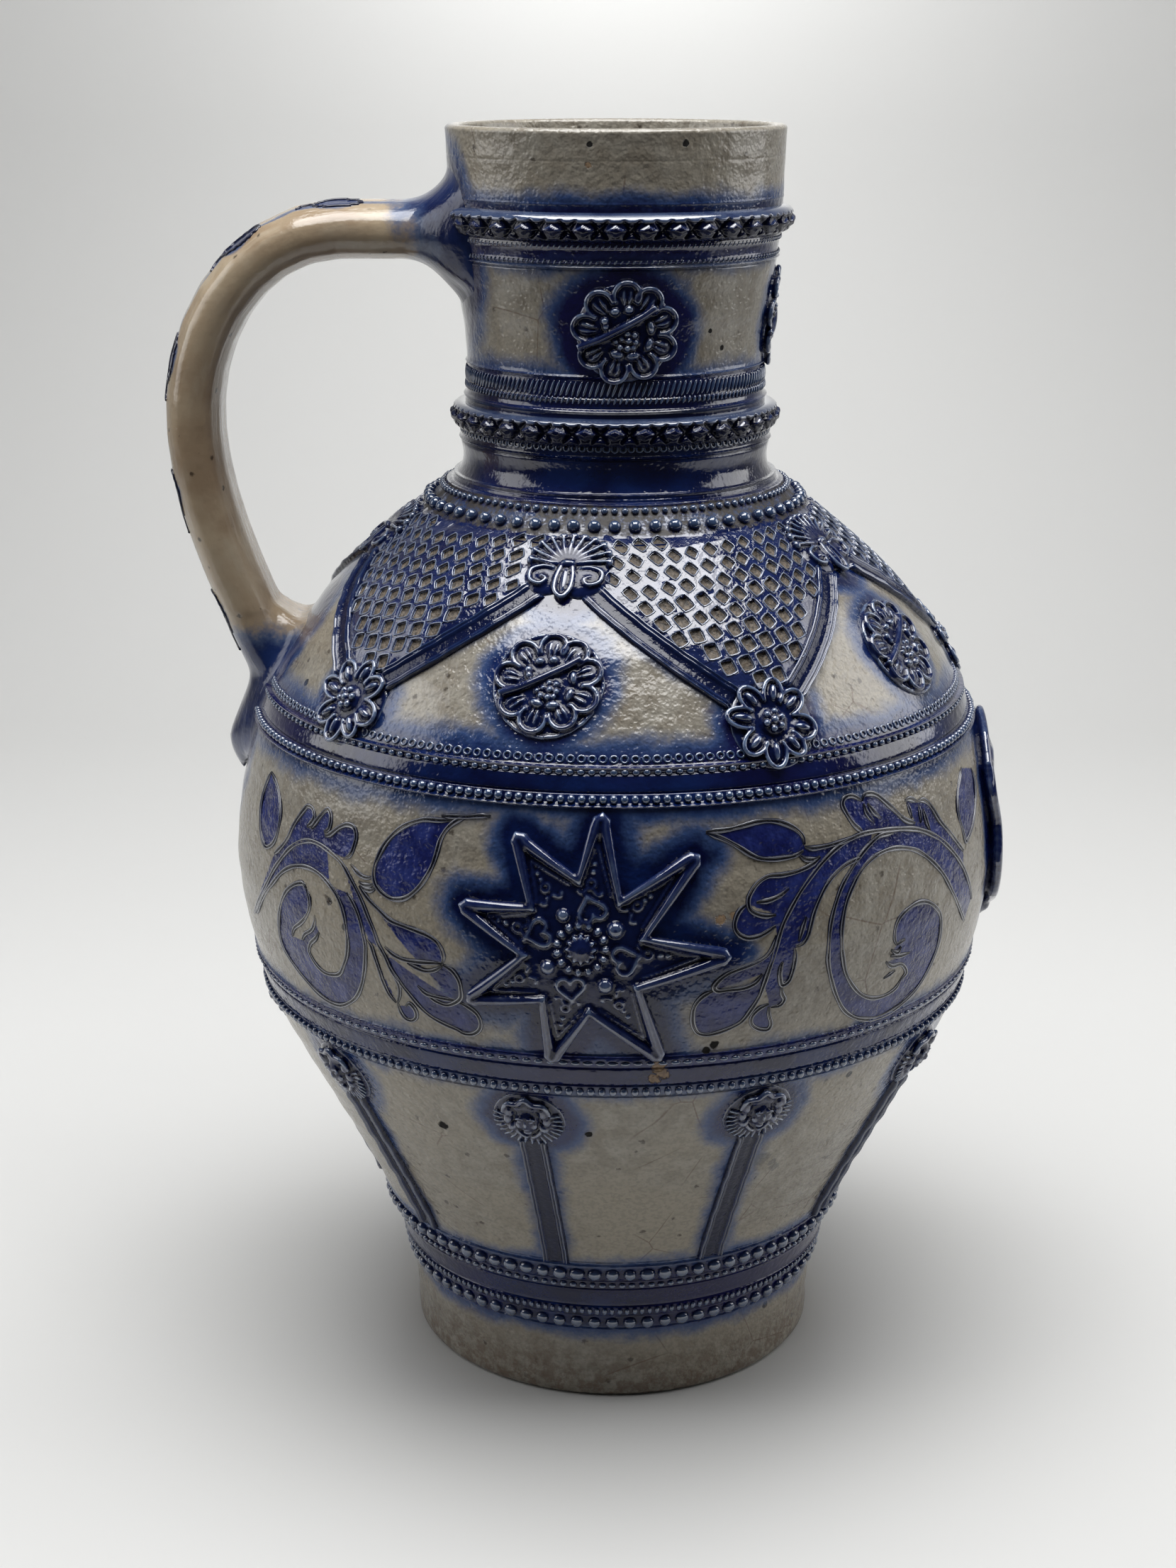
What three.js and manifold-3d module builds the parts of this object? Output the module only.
// Salt-glazed stoneware jug: a thrown hollow body with a strap handle, two applied neck rings and
// moulded reliefs, each luted on as a separate piece of clay. Millimetres, +Z up, the origin at the
// centre of the flat foot. The handle is at -X, the star relief that faces the viewer is toward -Y.

import * as THREE from 'three';
import { mergeVertices } from 'three/addons/utils/BufferGeometryUtils.js';
import Module from 'manifold-3d';

// Heights of the zones of the body, from the foot upward
const footHeight = 20;
const footBandHeight = 25;
const lowerBellyHeight = 60;
const girdleHeight = 12;
const friezeHeight = 61.5;
const shoulderBandHeight = 10.5;
const shoulderHeight = 49;
const throatHeight = 13;
const neckFootHeight = 15;
const neckHeight = 32;
const lipHeight = 32;

// Outer radii of the body, at the foot and then at the top of each zone
const footRadius = 55.5;
const footTopRadius = 56.7;
const footBandRadius = 64.9;
const lowerBellyRadius = 95;
const girdleRadius = 98.3;
const bellyRadius = 102;
const friezeTopRadius = 95.6;
const shoulderBandRadius = 91.2;
const shoulderMiddleRadius = 75.2;
const collarRadius = 46;
const throatRadius = 39.8;
const neckFootRadius = 40.3;
const neckRadius = 38.2;
const neckTopRadius = 41.3;
const rimRadius = 43.2;

// Where the belly is widest, where the shoulder is measured and where the throat is narrowest,
// as heights above the foot of their zones
const bellyRise = 26;
const shoulderMiddleRise = 23;
const throatRise = 9.5;

// Walls
const bellyWall = 6.5;
const neckWall = 5;
const floorThickness = 9;
const floorFillet = 9;
const rimRounding = 1.8;
const footChamfer = 1.2;

// Rolled ridges that carry the rows of beads: how far they stand out and half their height
const ridgeProud = 0.9;
const ridgeHalfHeight = 1.6;
const collarRidgeProud = 1.8;
const footRidgeInset = 4.4;
const girdleRidgeInset = 2.5;
const shoulderRidgeInset = 2;

// Neck rings
const ringProud = 3.4;
const ringHalfHeight = 3.6;
const upperRingRise = 9;
const lowerRingRise = 6.4;

// Handle: a strap that is domed outside and flatter toward the hand
const handleThickness = 15;
const handleWidth = 28;
const handleReach = 109.8;
const handleArchDrop = 48.6;
const handleArchRun = 40;
const handleRootRise = 6;
const handleRootSpread = 24;
const handleRootFlare = 11;
const handleFootRise = 3;
const handleFootStandOff = 2;
const handleBow = { straight: 0.36, outward: 0.11, upward: 0.26 };
const tailWidth = 34;
const tailProud = 7;
const tailRise = 9;
const tailLength = 42;

// Reliefs: radius across the outline, height of the crown and place along the surface
const neckRosetteCount = 3;
const neckRosetteTurn = 90;
const neckRosetteRadius = 13;
const neckRosetteHeight = 2.4;
const shoulderBayCount = 5;
const palmetteRadius = 11.5;
const palmetteHeight = 3;
const palmetteDrop = 16;
const flowerRadius = 12;
const flowerHeight = 3.4;
const flowerRise = 7;
const medallionRadius = 13.6;
const medallionHeight = 2.8;
const medallionRise = 18;
const filletWidth = 6.4;
const filletHeight = 1.7;
const latticeSpacing = 6.2;
const latticeBarWidth = 1.6;
const latticeHeight = 1.2;
const latticeLift = 0.4;
const latticeDrop = 6.5;
const latticeClearance = 1.2;
const starCount = 2;
const starPointCount = 8;
const starTipRadius = 33;
const starValleyRadius = 15.7;
const starHeight = 2.6;
const starBossRadius = 6;
const maskCount = 10;
const maskRadius = 9.6;
const maskHeight = 3.8;
const maskDrop = 9;
const ribWidth = 7;
const ribHeight = 1.5;
const cartoucheWidth = 44;
const cartoucheLength = 60;
const cartoucheHeight = 4.6;
const cartoucheRise = 2;
const cartoucheWaist = 0.34;
const cartoucheScallops = { count: 8, depth: 0.06 };

// Moulds of the reliefs: lobes round the outline, how deep the notches between them are, the width
// as a share of the length, the height of the middle, and rings from the middle outward. A ring is
// a share of the outline, with the height on the lobes and in the notches as shares of the crown
const rosetteMould = {
  lobes: 8,
  notch: 0.12,
  width: 1,
  middle: 1,
  rings: [
    { share: 0.3, high: 0.6, low: 0.6 },
    { share: 0.55, high: 1, low: 0.55 },
    { share: 1, high: 0.6, low: 0.4 },
  ],
};
const flowerMould = {
  lobes: 8,
  notch: 0.14,
  width: 1,
  middle: 1,
  rings: [
    { share: 0.25, high: 0.8, low: 0.8 },
    { share: 0.7, high: 0.8, low: 0.5 },
    { share: 1, high: 0.55, low: 0.4 },
  ],
};
const palmetteMould = {
  lobes: 7,
  notch: 0.12,
  width: 0.9,
  middle: 0.7,
  rings: [
    { share: 0.3, high: 1, low: 1 },
    { share: 0.7, high: 1, low: 0.5 },
    { share: 1, high: 0.5, low: 0.35 },
  ],
};
const maskMould = {
  lobes: 7,
  notch: 0.08,
  width: 1,
  middle: 1,
  rings: [
    { share: 0.28, high: 0.9, low: 0.9 },
    { share: 0.5, high: 0.5, low: 0.4 },
    { share: 1, high: 0.35, low: 0.25 },
  ],
};

// The star's rings: round its boss, across the sunk field, up the raised edge and down to the rim
const starRings = [
  { share: starBossRadius / starTipRadius, high: 1, low: 0.45 },
  { share: 0.45, high: 0.45, low: 0.45 },
  { share: 0.72, high: 0.45, low: 0.45 },
  { share: 0.86, high: 1, low: 1 },
  { share: 1, high: 0.6, low: 0.6 },
];
const cartoucheRings = [
  { share: 0.45, high: 0.8, low: 0.8 },
  { share: 0.75, high: 0.75, low: 0.75 },
  { share: 0.88, high: 1, low: 1 },
  { share: 1, high: 0.5, low: 0.5 },
];
const cartoucheMiddle = 0.9;

// Section of a neck ring: the flat of its crown as a share of its height, and how far its edges
// stand off the neck as a share of its crown
const ringCrownShare = 0.55;
const ringEdgeShare = 0.35;

// Directions round the axis, in degrees from -Y toward +X
const handleDirection = -90;
const cartoucheDirection = 88;
const neckRosetteDirection = 3.5;
const shoulderDirection = -11;
const starDirection = -3.6;
const starTilt = 82;
const maskDirection = -13;

// The gap that the luting leaves between a piece and the body, and how deep a relief's back
// reaches below the surface before it is cut to fit
const lutingGap = 0.3;
const backing = 2.6;

// Fineness: facets round the axis, steps of the curves and corners of the cartouche's outline
const facetCount = 50;
const profileStepCounts = [1, 4, 1, 2, 2, 1, 2, 3];
const stripStepCount = 4;
const handleStepCount = 17;
const flareStepCount = 4;
const cartoucheCornerCount = 22;
const searchStepCount = 24;
const mergeDistance = 1e-4;

const degree = Math.PI / 180;
const fullTurn = 360;

// Levels where the zones meet
const bandLevel = footHeight;
const lowerBellyLevel = bandLevel + footBandHeight;
const girdleLevel = lowerBellyLevel + lowerBellyHeight;
const friezeLevel = girdleLevel + girdleHeight;
const shoulderBandLevel = friezeLevel + friezeHeight;
const shoulderLevel = shoulderBandLevel + shoulderBandHeight;
const collarLevel = shoulderLevel + shoulderHeight;
const neckFootLevel = collarLevel + throatHeight;
const neckLevel = neckFootLevel + neckFootHeight;
const lipLevel = neckLevel + neckHeight;
const rimLevel = lipLevel + lipHeight;

// Profile of the body without its ridges, as points (radius, height)
const at = (radius, height) => new THREE.Vector2(radius, height);

function belliedProfile() {
  const knots = [
    at(footTopRadius, bandLevel),
    at(footBandRadius, lowerBellyLevel),
    at(lowerBellyRadius, girdleLevel),
    at(girdleRadius, friezeLevel),
    at(bellyRadius, friezeLevel + bellyRise),
    at(friezeTopRadius, shoulderBandLevel),
    at(shoulderBandRadius, shoulderLevel),
    at(shoulderMiddleRadius, shoulderLevel + shoulderMiddleRise),
    at(collarRadius, collarLevel),
  ];
  const spatial = knots.map((knot) => new THREE.Vector3(knot.x, knot.y, 0));
  const curve = new THREE.CatmullRomCurve3(spatial, false, 'centripetal');
  const points = [knots[0]];
  profileStepCounts.forEach((steps, span) => {
    for (let step = 1; step <= steps; step++) {
      const point = curve.getPoint((span + step / steps) / (knots.length - 1));
      points.push(at(point.x, point.y));
    }
  });
  return points;
}

const bellied = belliedProfile();
const smoothProfile = [
  at(footRadius, 0),
  ...bellied,
  at(throatRadius, collarLevel + throatRise),
  at(neckFootRadius, neckFootLevel),
  at(neckRadius, neckLevel),
  at(neckTopRadius, lipLevel),
  at(rimRadius, rimLevel),
];

// Distance along the profile of each of its points, and the profile's outward normal there
const profileLengths = [0];
for (let i = 1; i < smoothProfile.length; i++) {
  profileLengths.push(profileLengths[i - 1] + smoothProfile[i].distanceTo(smoothProfile[i - 1]));
}

function outwardNormals(points) {
  return points.map((point, i) => {
    const before = points[Math.max(i - 1, 0)];
    const after = points[Math.min(i + 1, points.length - 1)];
    const along = after.clone().sub(before).normalize();
    return at(along.y, -along.x);
  });
}

const profileNormals = outwardNormals(smoothProfile);

function profileAt(length) {
  const last = smoothProfile.length - 2;
  let span = profileLengths.findIndex((start) => start > length) - 1;
  if (span < 0) span = length <= 0 ? 0 : last;
  const share = (length - profileLengths[span]) / (profileLengths[span + 1] - profileLengths[span]);
  return {
    point: smoothProfile[span].clone().lerp(smoothProfile[span + 1], share),
    normal: profileNormals[span].clone().lerp(profileNormals[span + 1], share).normalize(),
  };
}

function lengthAtHeight(height) {
  const last = smoothProfile.length - 2;
  let span = smoothProfile.findIndex((point) => point.y > height) - 1;
  if (span < 0) span = height <= 0 ? 0 : last;
  const share = (height - smoothProfile[span].y) / (smoothProfile[span + 1].y - smoothProfile[span].y);
  return profileLengths[span] + share * (profileLengths[span + 1] - profileLengths[span]);
}

const radiusAtHeight = (height) => profileAt(lengthAtHeight(height)).point.x;

// A point seen from a seat on the surface: across it, up along it and out from it
const seat = (direction, length) => ({ angle: direction * degree, length });

function onSurface(place, across, up, out) {
  const { point, normal } = profileAt(place.length + up);
  const angle = place.angle + across / point.x;
  const radius = point.x + out * normal.x;
  return new THREE.Vector3(
    radius * Math.sin(angle),
    -radius * Math.cos(angle),
    point.y + out * normal.y,
  );
}

// Solids are joined and cut as manifolds
const wasm = await Module();
wasm.setup();
const { Manifold, Mesh } = wasm;

function solidFromGeometry(source) {
  const geometry = source.clone();
  geometry.deleteAttribute('normal');
  geometry.deleteAttribute('uv');
  const merged = mergeVertices(geometry, mergeDistance);
  const corners = merged.index.array;
  const triangles = [];
  for (let i = 0; i < corners.length; i += 3) {
    const [a, b, c] = [corners[i], corners[i + 1], corners[i + 2]];
    if (a !== b && b !== c && c !== a) triangles.push(a, b, c);
  }
  return new Manifold(new Mesh({
    numProp: 3,
    vertProperties: new Float32Array(merged.attributes.position.array),
    triVerts: new Uint32Array(triangles),
  }));
}

function geometryFromSolid(solid) {
  const { vertProperties, triVerts } = solid.getMesh();
  const geometry = new THREE.BufferGeometry();
  geometry.setAttribute('position', new THREE.BufferAttribute(new Float32Array(vertProperties), 3));
  geometry.setIndex(new THREE.BufferAttribute(new Uint32Array(triVerts), 1));
  geometry.computeVertexNormals();
  return geometry;
}

function geometryFromPoints(points, triangles) {
  const geometry = new THREE.BufferGeometry();
  geometry.setFromPoints(points);
  geometry.setIndex(triangles);
  return geometry;
}

function revolve(profile) {
  return new THREE.LatheGeometry(profile, facetCount).rotateX(Math.PI / 2);
}

// The body: ridges are added to the smooth profile, then the hollow inside follows at the walls
function ridge(height, proud) {
  return [-1, 0, 1].map((side) => {
    const { point, normal } = profileAt(lengthAtHeight(height) + side * ridgeHalfHeight);
    return point.clone().addScaledVector(normal, side === 0 ? proud : 0);
  });
}

function ridgedProfile() {
  const ridges = [
    ridge(bandLevel + footRidgeInset, ridgeProud),
    ridge(lowerBellyLevel - footRidgeInset, ridgeProud),
    ridge(girdleLevel + girdleRidgeInset, ridgeProud),
    ridge(friezeLevel - girdleRidgeInset, ridgeProud),
    ridge(shoulderBandLevel + shoulderRidgeInset, ridgeProud),
    ridge(shoulderLevel - shoulderRidgeInset, ridgeProud),
    ridge(collarLevel - ridgeHalfHeight, collarRidgeProud),
  ];
  const outside = (point) => ridges.every((points) => point.y < points[0].y || point.y > points[2].y);
  return [...smoothProfile.filter(outside), ...ridges.flat()].sort((a, b) => a.y - b.y);
}

const outerProfile = ridgedProfile();

function innerProfile() {
  const everyOther = bellied.filter((point, i) => i % 2 === bellied.length % 2);
  const hollow = everyOther.map((point) => {
    const { normal } = profileAt(lengthAtHeight(point.y));
    return point.clone().addScaledVector(normal, -bellyWall);
  });
  const corner = footTopRadius - bellyWall;
  return [
    at(rimRadius - neckWall, rimLevel - rimRounding),
    at(neckTopRadius - neckWall, lipLevel),
    at(neckRadius - neckWall, neckLevel),
    at(throatRadius - neckWall, collarLevel + throatRise),
    ...hollow.filter((point) => point.y > floorThickness + floorFillet).reverse(),
    at(corner, floorThickness + floorFillet),
    at(corner - floorFillet, floorThickness),
    at(0, floorThickness),
  ];
}

function vesselGeometry() {
  return revolve([
    at(0, 0),
    at(footRadius - footChamfer, 0),
    at(footRadius, footChamfer),
    ...outerProfile.slice(1, -1),
    at(rimRadius, rimLevel - rimRounding),
    at(rimRadius - rimRounding, rimLevel),
    at(rimRadius - neckWall + rimRounding, rimLevel),
    ...innerProfile(),
  ]);
}

// The filled body, larger by the luting gap: what every applied piece is cut with
function fittingBody() {
  const normals = outwardNormals(outerProfile);
  const grown = outerProfile.map((point, i) => point.clone().addScaledVector(normals[i], lutingGap));
  return solidFromGeometry(revolve([at(0, -lutingGap), ...grown, at(0, rimLevel + lutingGap)]));
}

const bodyToFit = fittingBody();
const fitToBody = (solid) => solid.subtract(bodyToFit);

// Neck rings: a half-round roll of clay that follows the neck inside
function ringSolid(middle) {
  const heights = [-1, 0, 1].map((side) => middle + side * ringHalfHeight);
  const inside = heights.map((height) => at(radiusAtHeight(height) + lutingGap, height));
  const crown = [-ringCrownShare, ringCrownShare].map((side) => {
    const height = middle + side * ringHalfHeight;
    return at(radiusAtHeight(height) + ringProud, height);
  });
  const edge = ringProud * ringEdgeShare;
  const outside = [
    at(inside[0].x + edge, heights[0]),
    ...crown,
    at(inside[2].x + edge, heights[2]),
  ];
  return solidFromGeometry(revolve([...inside.slice().reverse(), ...outside, inside[2]]));
}

// A relief drawn on rings round its centre, from its middle to the rim and down behind it
function discSolid(place, sides, outline, rings, crown, middle) {
  const points = [onSurface(place, 0, 0, middle)];
  const layers = rings.map(({ share, high, low }) => ({
    share,
    height: (side) => crown.height * (side % 2 ? low : high) + crown.grow,
  }));
  layers.push({ share: 1, height: () => -backing });
  for (const { share, height } of layers) {
    for (let side = 0; side < sides; side++) {
      const [across, up] = outline((side / sides) * 2 * Math.PI, side).map((value) => value * share);
      points.push(onSurface(place, across, up, height(side)));
    }
  }
  points.push(onSurface(place, 0, 0, -backing));
  const backCentre = points.length - 1;
  const corner = (layer, side) => 1 + layer * sides + (side % sides);
  const triangles = [];
  for (let side = 0; side < sides; side++) {
    triangles.push(0, corner(0, side), corner(0, side + 1));
    triangles.push(backCentre, corner(layers.length - 1, side + 1), corner(layers.length - 1, side));
    for (let layer = 0; layer < layers.length - 1; layer++) {
      triangles.push(corner(layer, side), corner(layer + 1, side), corner(layer + 1, side + 1));
      triangles.push(corner(layer, side), corner(layer + 1, side + 1), corner(layer, side + 1));
    }
  }
  return solidFromGeometry(geometryFromPoints(points, triangles));
}

// A lobed relief out of its mould: every other corner of the outline is drawn in as a notch
function mouldedSolid(place, mould, radius, height, grow = 0) {
  const outline = (angle, side) => {
    const reach = (radius + grow) * (side % 2 ? 1 - mould.notch : 1);
    return [reach * mould.width * Math.cos(angle), reach * Math.sin(angle)];
  };
  const middle = height * mould.middle + grow;
  return discSolid(place, 2 * mould.lobes, outline, mould.rings, { height, grow }, middle);
}

const flowerSolid = (place, grow) => mouldedSolid(place, flowerMould, flowerRadius, flowerHeight, grow);

// Eight-pointed star: a raised edge round a sunk field, with a boss at its centre
function starSolid(place) {
  const outline = (angle, side) => {
    const radius = side % 2 ? starValleyRadius : starTipRadius;
    const turned = angle + starTilt * degree;
    return [radius * Math.cos(turned), radius * Math.sin(turned)];
  };
  const crown = { height: starHeight, grow: 0 };
  return discSolid(place, 2 * starPointCount, outline, starRings, crown, starHeight);
}

// Bare shield cartouche: a scalloped crest above, a rounded pendant below
function cartoucheSolid(place) {
  const halfWidth = cartoucheWidth / 2;
  const halfLength = cartoucheLength / 2;
  const outline = (angle) => {
    const rise = Math.sin(angle);
    const waist = 1 - cartoucheWaist * Math.max(0, -rise) ** 2;
    const { count, depth } = cartoucheScallops;
    const scallop = rise > 0 ? 1 + depth * Math.cos(count * angle) : 1;
    return [halfWidth * Math.cos(angle) * waist * scallop, halfLength * rise * scallop];
  };
  const crown = { height: cartoucheHeight, grow: 0 };
  const middle = cartoucheHeight * cartoucheMiddle;
  return discSolid(place, cartoucheCornerCount, outline, cartoucheRings, crown, middle);
}

// A strip laid along the surface: stations with a half width and a crown, and one section that
// runs from -1 to 1 across and from 0 to 1 up
const reeded = [[-1, 0.5], [-0.72, 1], [-0.4, 0.5], [0, 0.8], [0.4, 0.5], [0.72, 1], [1, 0.5]];
const humped = [[-1, 0], [-0.8, 0.34], [-0.42, 0.84], [0, 1], [0.42, 0.84], [0.8, 0.34], [1, 0]];

function stripSolid(stations, section) {
  const rim = [...section.map(([across, up]) => [across, up, false]), [1, 0, true], [-1, 0, true]];
  const points = [];
  stations.forEach((station, i) => {
    const before = stations[Math.max(i - 1, 0)];
    const after = stations[Math.min(i + 1, stations.length - 1)];
    const radius = profileAt(station.length).point.x;
    const run = at((after.angle - before.angle) * radius, after.length - before.length).normalize();
    for (const [across, up, isBack] of rim) {
      const side = across * station.halfWidth;
      const out = isBack ? -backing : up * station.crown;
      points.push(onSurface(station, run.y * side, -run.x * side, out));
    }
  });
  return loft(points, rim.map(([across, up, isBack]) => at(across, isBack ? -1 : up)));
}

// Triangles that fill a contour, each turned the same way as the contour
function filled(contour) {
  const clockwise = THREE.ShapeUtils.isClockWise(contour);
  return THREE.ShapeUtils.triangulateShape(contour, []).map((triangle) => {
    const corners = triangle.map((corner) => contour[corner]);
    return THREE.ShapeUtils.isClockWise(corners) === clockwise ? triangle : triangle.slice().reverse();
  });
}

// A closed solid through equal sections: walls from each section to the next, and two end caps
function loft(points, contour) {
  const size = contour.length;
  const last = points.length - size;
  const triangles = [];
  for (let start = 0; start < last; start += size) {
    for (let i = 0; i < size; i++) {
      const [a, b] = [start + i, start + ((i + 1) % size)];
      triangles.push(a, b, b + size, a, b + size, a + size);
    }
  }
  for (const [a, b, c] of filled(contour)) {
    triangles.push(c, b, a, last + a, last + b, last + c);
  }
  return solidFacingOut(points, triangles);
}

function solidFacingOut(points, triangles) {
  let sixVolumes = 0;
  for (let i = 0; i < triangles.length; i += 3) {
    const [a, b, c] = [0, 1, 2].map((corner) => points[triangles[i + corner]]);
    sixVolumes += a.dot(b.clone().cross(c));
  }
  const facing = sixVolumes > 0 ? triangles : triangles.slice().reverse();
  return solidFromGeometry(geometryFromPoints(points, facing));
}

// Reeded fillet between two seats: it starts and ends clear of the reliefs that sit there
function filletSolid(from, fromRadius, to, toRadius) {
  const between = (share) => ({
    angle: from.angle + (to.angle - from.angle) * share,
    length: from.length + (to.length - from.length) * share,
  });
  const distance = (a, b) => onSurface(a, 0, 0, 0).distanceTo(onSurface(b, 0, 0, 0));
  const shareAt = (near, reach, inward) => {
    let [low, high] = [0, 1];
    for (let step = 0; step < searchStepCount; step++) {
      const middle = (low + high) / 2;
      const share = inward ? 1 - middle : middle;
      if (distance(near, between(share)) < reach) low = middle;
      else high = middle;
    }
    return inward ? 1 - high : high;
  };
  const first = shareAt(from, fromRadius + lutingGap, false);
  const last = shareAt(to, toRadius + lutingGap, true);
  const stations = [];
  for (let step = 0; step <= stripStepCount; step++) {
    const station = between(first + ((last - first) * step) / stripStepCount);
    stations.push({ ...station, halfWidth: filletWidth / 2, crown: filletHeight });
  }
  return stripSolid(stations, reeded);
}

// Lattice of slanting bars over the field between two fillets and two shells, above a flower: a
// plate that follows the body, pierced by one lozenge in each cell that keeps clear of the reliefs
function latticeSolid(flower, shell) {
  const top = lengthAtHeight(collarLevel) - latticeDrop;
  const rise = shell.length - flower.length;
  const opening = Math.abs(shell.angle - flower.angle);
  const mirrored = { angle: 2 * flower.angle - shell.angle, length: shell.length };
  const step = latticeSpacing * Math.SQRT1_2;
  const placeAt = (i, j) => [(i - j) * step, top - flower.length + (i + j) * step];
  const inField = (i, j) => {
    const [across, up] = placeAt(i, j);
    const onField = onSurface(flower, across, up, 0);
    const away = (place) => onField.distanceTo(onSurface(place, 0, 0, 0));
    const halfBay = opening * profileAt(flower.length + up).point.x;
    const filletDistance = (halfBay * up - Math.abs(across) * rise) / Math.hypot(rise, halfBay);
    return i + j <= 0
      && filletDistance > filletWidth / 2 + latticeClearance
      && away(flower) > flowerRadius + latticeClearance
      && Math.min(away(shell), away(mirrored)) > palmetteRadius + latticeClearance;
  };
  const points = [];
  const numbers = new Map();
  const corner = (i, j, out) => {
    const key = `${i},${j},${out}`;
    if (!numbers.has(key)) {
      numbers.set(key, points.length);
      points.push(onSurface(flower, ...placeAt(i, j), out));
    }
    return numbers.get(key);
  };
  const cellCorners = [[0, 0], [1, 0], [1, 1], [0, 1]];
  const reach = Math.ceil((top - flower.length) / step);
  const isCell = (i, j) => cellCorners.every(([right, left]) => inField(i + right, j + left));
  const triangles = [];
  const wall = (a, b, c, d) => triangles.push(a, b, c, a, c, d);
  const rim = latticeBarWidth / latticeSpacing / 2;
  for (let i = -reach; i < reach; i++) {
    for (let j = -reach; j < reach; j++) {
      if (!isCell(i, j)) continue;
      cellCorners.forEach(([right, left], number) => {
        const [nextRight, nextLeft] = cellCorners[(number + 1) % cellCorners.length];
        const drawIn = (share) => share + rim * (1 - 2 * share);
        const outer = (out) => [corner(i + right, j + left, out), corner(i + nextRight, j + nextLeft, out)];
        const inner = (out) => [
          corner(i + drawIn(right), j + drawIn(left), out),
          corner(i + drawIn(nextRight), j + drawIn(nextLeft), out),
        ];
        const [[a, b], [c, d]] = [outer(latticeHeight), inner(latticeHeight)];
        const [[e, f], [g, h]] = [outer(latticeLift), inner(latticeLift)];
        wall(a, b, d, c);
        wall(c, d, h, g);
        wall(f, e, g, h);
        const beyond = [i + (right + nextRight - 1), j + (left + nextLeft - 1)];
        if (!isCell(...beyond)) wall(b, a, e, f);
      });
    }
  }
  return solidFacingOut(points, triangles);
}

// Reeded rib down the lower belly, from under a mask to the foot band
function ribSolid(direction, top) {
  const bottom = lengthAtHeight(lowerBellyLevel);
  const stations = [];
  for (let step = 0; step <= stripStepCount; step++) {
    const length = top + ((bottom - top) * step) / stripStepCount;
    stations.push({ ...seat(direction, length), halfWidth: ribWidth / 2, crown: ribHeight });
  }
  return stripSolid(stations, reeded);
}

// Handle: centreline in the plane of the axis, as (distance from the axis, height)
function handleCentreline() {
  const topLevel = lipLevel + handleRootRise;
  const neckSurface = radiusAtHeight(topLevel);
  const archCentre = at(handleReach - handleArchRun, topLevel - handleArchDrop);
  const footLevel = shoulderLevel + handleFootRise;
  const foot = at(radiusAtHeight(footLevel) + handleFootStandOff, footLevel);
  const drop = archCentre.y - footLevel;
  const path = new THREE.CurvePath();
  path.add(new THREE.LineCurve(at(neckSurface + handleRootFlare, topLevel), at(archCentre.x, topLevel)));
  path.add(new THREE.EllipseCurve(
    archCentre.x, archCentre.y, handleArchRun, handleArchDrop, Math.PI / 2, 0, true,
  ));
  path.add(new THREE.CubicBezierCurve(
    at(handleReach, archCentre.y),
    at(handleReach, archCentre.y - drop * handleBow.straight),
    at(foot.x + drop * handleBow.outward, footLevel + drop * handleBow.upward),
    foot,
  ));
  return { path, topLevel, neckSurface };
}

// The strap's section: domed over its back, and flatter underneath, where the palm lies
const strapSection = [
  [-1, -0.1], [-0.92, 0.45], [-0.55, 0.85], [0, 1], [0.55, 0.85], [0.92, 0.45],
  [1, -0.1], [0.86, -0.7], [0.4, -0.98], [-0.4, -0.98], [-0.86, -0.7],
];

function strapSolid(grow) {
  const { path, topLevel, neckSurface } = handleCentreline();
  const stations = [];
  for (let step = 0; step < flareStepCount; step++) {
    const nearness = 1 - step / flareStepCount;
    const spread = nearness ** 2;
    stations.push({
      centre: at(neckSurface - backing + (1 - nearness) * (handleRootFlare + backing), topLevel),
      run: at(1, 0),
      halfWidth: handleWidth / 2 + (handleRootSpread / 2) * spread,
      halfThickness: handleThickness / 2 + (handleRootSpread / 2) * spread,
      wrap: nearness,
    });
  }
  const centres = path.getSpacedPoints(handleStepCount);
  centres.forEach((centre, i) => {
    const before = centres[Math.max(i - 1, 0)];
    const after = centres[Math.min(i + 1, handleStepCount)];
    const run = i === 0 ? at(1, 0) : after.clone().sub(before).normalize();
    stations.push({
      centre, run, halfWidth: handleWidth / 2, halfThickness: handleThickness / 2, wrap: 0,
    });
  });
  const points = stations.flatMap(({ centre, run, halfWidth, halfThickness, wrap }) => (
    strapSection.map(([across, up]) => {
      const out = up * (halfThickness + grow);
      const side = across * (halfWidth + grow);
      const radius = centre.x - run.y * out;
      const height = centre.y + run.x * out;
      const turn = (side / radius) * wrap;
      const straight = side * (1 - wrap);
      return new THREE.Vector3(
        -radius * Math.cos(turn) - straight * Math.sin(turn),
        -radius * Math.sin(turn) - straight * Math.cos(turn),
        height,
      );
    })
  ));
  return loft(points, strapSection.map(([across, up]) => at(across, up)));
}

// The pinched tail below the strap: shares of its length with the crown and the width there
const tailShape = [
  { share: -0.12, crown: 1.6, width: 0.8 },
  { share: 0.15, crown: 1.25, width: 0.92 },
  { share: 0.4, crown: 0.74, width: 1 },
  { share: 0.58, crown: 0.8, width: 0.92 },
  { share: 0.76, crown: 1, width: 0.7 },
  { share: 0.85, crown: 0.8, width: 0.5 },
  { share: 1, crown: 0.12, width: 0.22 },
];

function tailSolid(grow) {
  const top = lengthAtHeight(shoulderLevel + tailRise);
  const stations = tailShape.map(({ share, crown, width }) => ({
    ...seat(handleDirection, top - share * tailLength),
    halfWidth: (width * tailWidth) / 2 + grow,
    crown: crown * tailProud + grow,
  }));
  return stripSolid(stations, humped);
}

const handleSolid = (grow = 0) => strapSolid(grow).add(tailSolid(grow));

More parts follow.
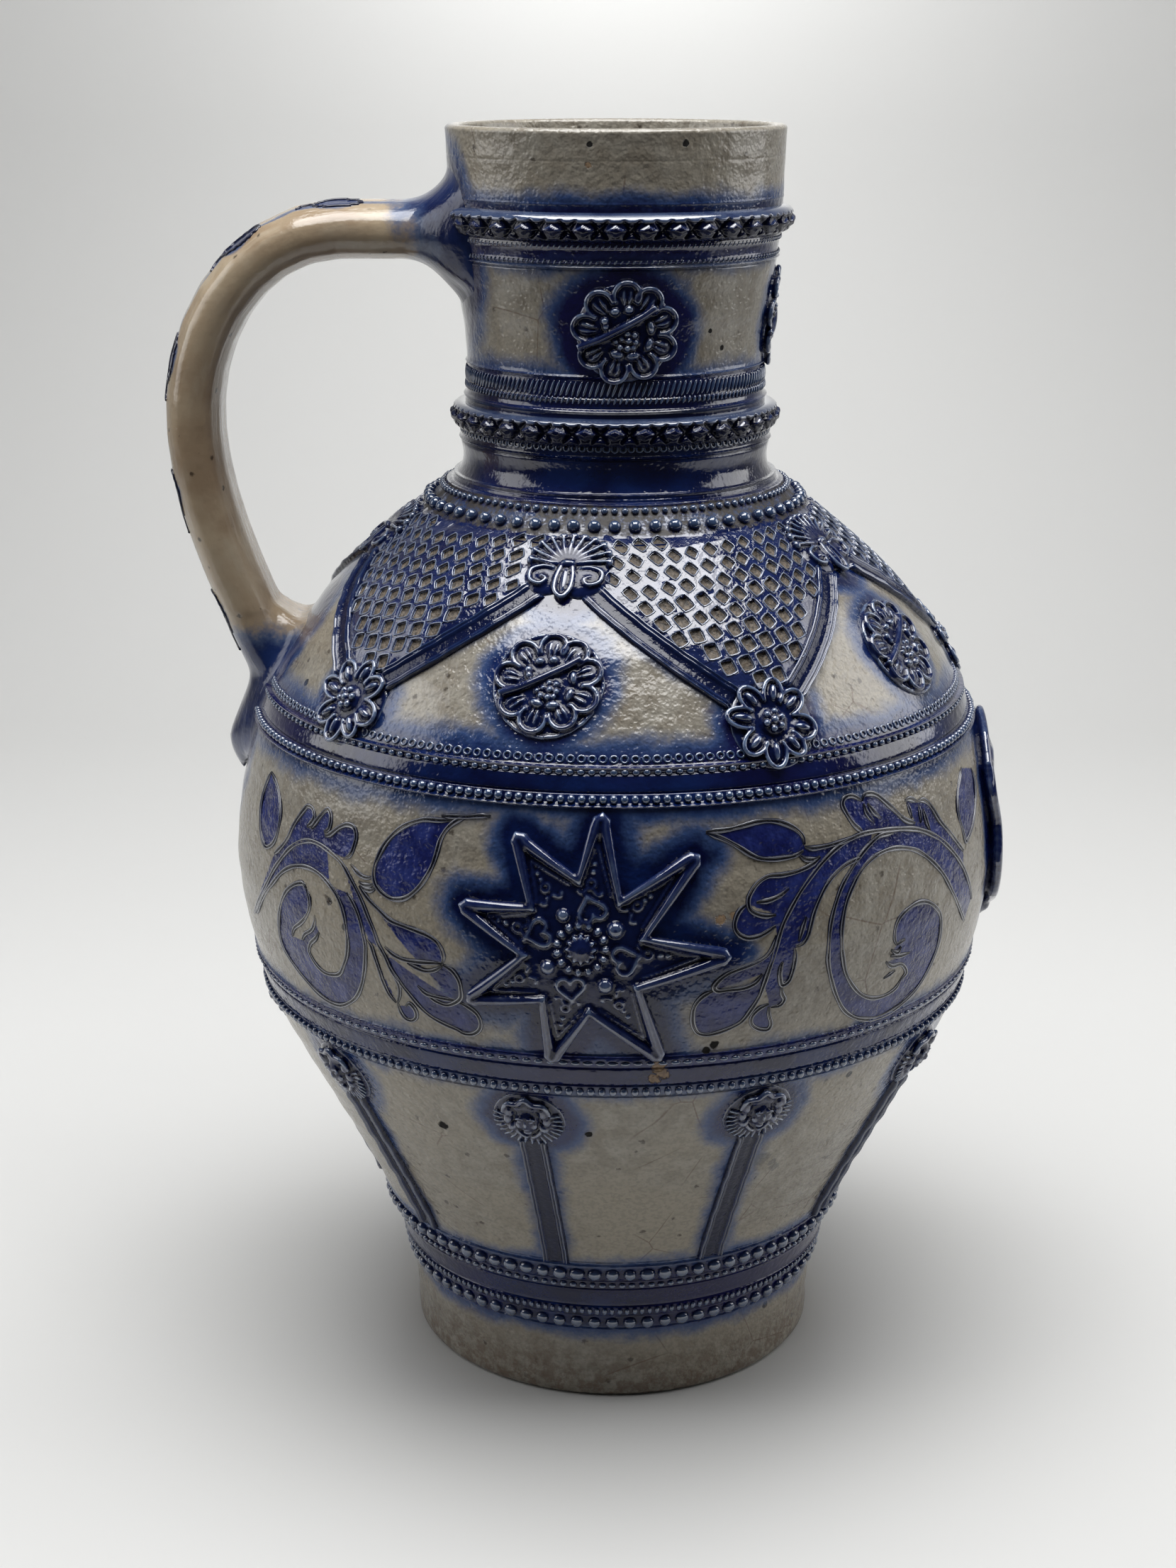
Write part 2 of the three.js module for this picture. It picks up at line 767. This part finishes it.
// Colours and finish of the clay
const greyGlaze = new THREE.MeshStandardMaterial({ color: 0x9b968a, roughness: 0.38, metalness: 0 });
const tanGlaze = new THREE.MeshStandardMaterial({ color: 0x9a8466, roughness: 0.3, metalness: 0 });
const cobaltGlaze = new THREE.MeshStandardMaterial({ color: 0x1d2b63, roughness: 0.25, metalness: 0 });

const jug = new THREE.Group();
jug.name = 'stoneware_jug';

function addPiece(name, geometry, glaze) {
  const mesh = new THREE.Mesh(geometry, glaze);
  mesh.name = name;
  jug.add(mesh);
}

const addRelief = (name, solid) => addPiece(name, geometryFromSolid(fitToBody(solid)), cobaltGlaze);

addPiece('vessel', vesselGeometry(), greyGlaze);
addPiece('handle', geometryFromSolid(fitToBody(handleSolid())), tanGlaze);

const upperRing = ringSolid(lipLevel + upperRingRise).subtract(handleSolid(lutingGap));
addPiece('neck_ring_upper', geometryFromSolid(upperRing), cobaltGlaze);
addPiece('neck_ring_lower', geometryFromSolid(ringSolid(neckFootLevel + lowerRingRise)), cobaltGlaze);

const neckMiddle = lengthAtHeight(neckLevel + neckHeight / 2);
for (let i = 0; i < neckRosetteCount; i++) {
  const place = seat(neckRosetteDirection + neckRosetteTurn * i, neckMiddle);
  const rosette = mouldedSolid(place, rosetteMould, neckRosetteRadius, neckRosetteHeight);
  addRelief(`neck_rosette_${i + 1}`, rosette);
}

// Shoulder: a shell above each field, a flower below between the fields, fillets from one to the
// other, and a medallion in each field but the one that the foot of the handle fills
const palmetteLength = lengthAtHeight(collarLevel) - palmetteDrop;
const flowerLength = lengthAtHeight(shoulderLevel) + flowerRise;
const medallionLength = lengthAtHeight(shoulderLevel) + medallionRise;
const bay = fullTurn / shoulderBayCount;
const flowerSeats = [];
let medallionNumber = 0;
for (let i = 0; i < shoulderBayCount; i++) {
  const direction = shoulderDirection + bay * i;
  const shell = seat(direction, palmetteLength);
  const [before, after] = [-0.5, 0.5].map((share) => seat(direction + bay * share, flowerLength));
  flowerSeats.push(after);
  const palmette = mouldedSolid(shell, palmetteMould, palmetteRadius, palmetteHeight);
  addRelief(`shoulder_palmette_${i + 1}`, palmette);
  addRelief(`shoulder_flower_${i + 1}`, flowerSolid(after));
  addRelief(`shoulder_fillet_${2 * i + 1}`, filletSolid(shell, palmetteRadius, before, flowerRadius));
  addRelief(`shoulder_fillet_${2 * i + 2}`, filletSolid(shell, palmetteRadius, after, flowerRadius));
  const lattice = geometryFromSolid(latticeSolid(after, shell));
  addPiece(`shoulder_lattice_${i + 1}`, lattice, cobaltGlaze);
  const fromHandle = (direction - handleDirection) % fullTurn;
  if (Math.min(fromHandle, fullTurn - fromHandle) > bay / 2) {
    medallionNumber += 1;
    const place = seat(direction, medallionLength);
    const medallion = mouldedSolid(place, rosetteMould, medallionRadius, medallionHeight);
    addRelief(`shoulder_medallion_${medallionNumber}`, medallion);
  }
}

const friezeMiddle = lengthAtHeight(friezeLevel + friezeHeight / 2);
for (let i = 0; i < starCount; i++) {
  const direction = starDirection + (fullTurn / starCount) * i;
  addRelief(`belly_star_${i + 1}`, starSolid(seat(direction, friezeMiddle)));
}

const cartoucheSeat = seat(cartoucheDirection, friezeMiddle + cartoucheRise);
const cartouche = flowerSeats.reduce(
  (solid, flowerSeat) => solid.subtract(flowerSolid(flowerSeat, lutingGap)),
  cartoucheSolid(cartoucheSeat),
);
addRelief('front_cartouche', cartouche);

const maskLength = lengthAtHeight(girdleLevel) - maskDrop;
const ribTop = maskLength - maskRadius - lutingGap;
for (let i = 0; i < maskCount; i++) {
  const direction = maskDirection + (fullTurn / maskCount) * i;
  const place = seat(direction, maskLength);
  addRelief(`belly_mask_${i + 1}`, mouldedSolid(place, maskMould, maskRadius, maskHeight));
  addRelief(`belly_rib_${i + 1}`, ribSolid(direction, ribTop));
}

export default jug;
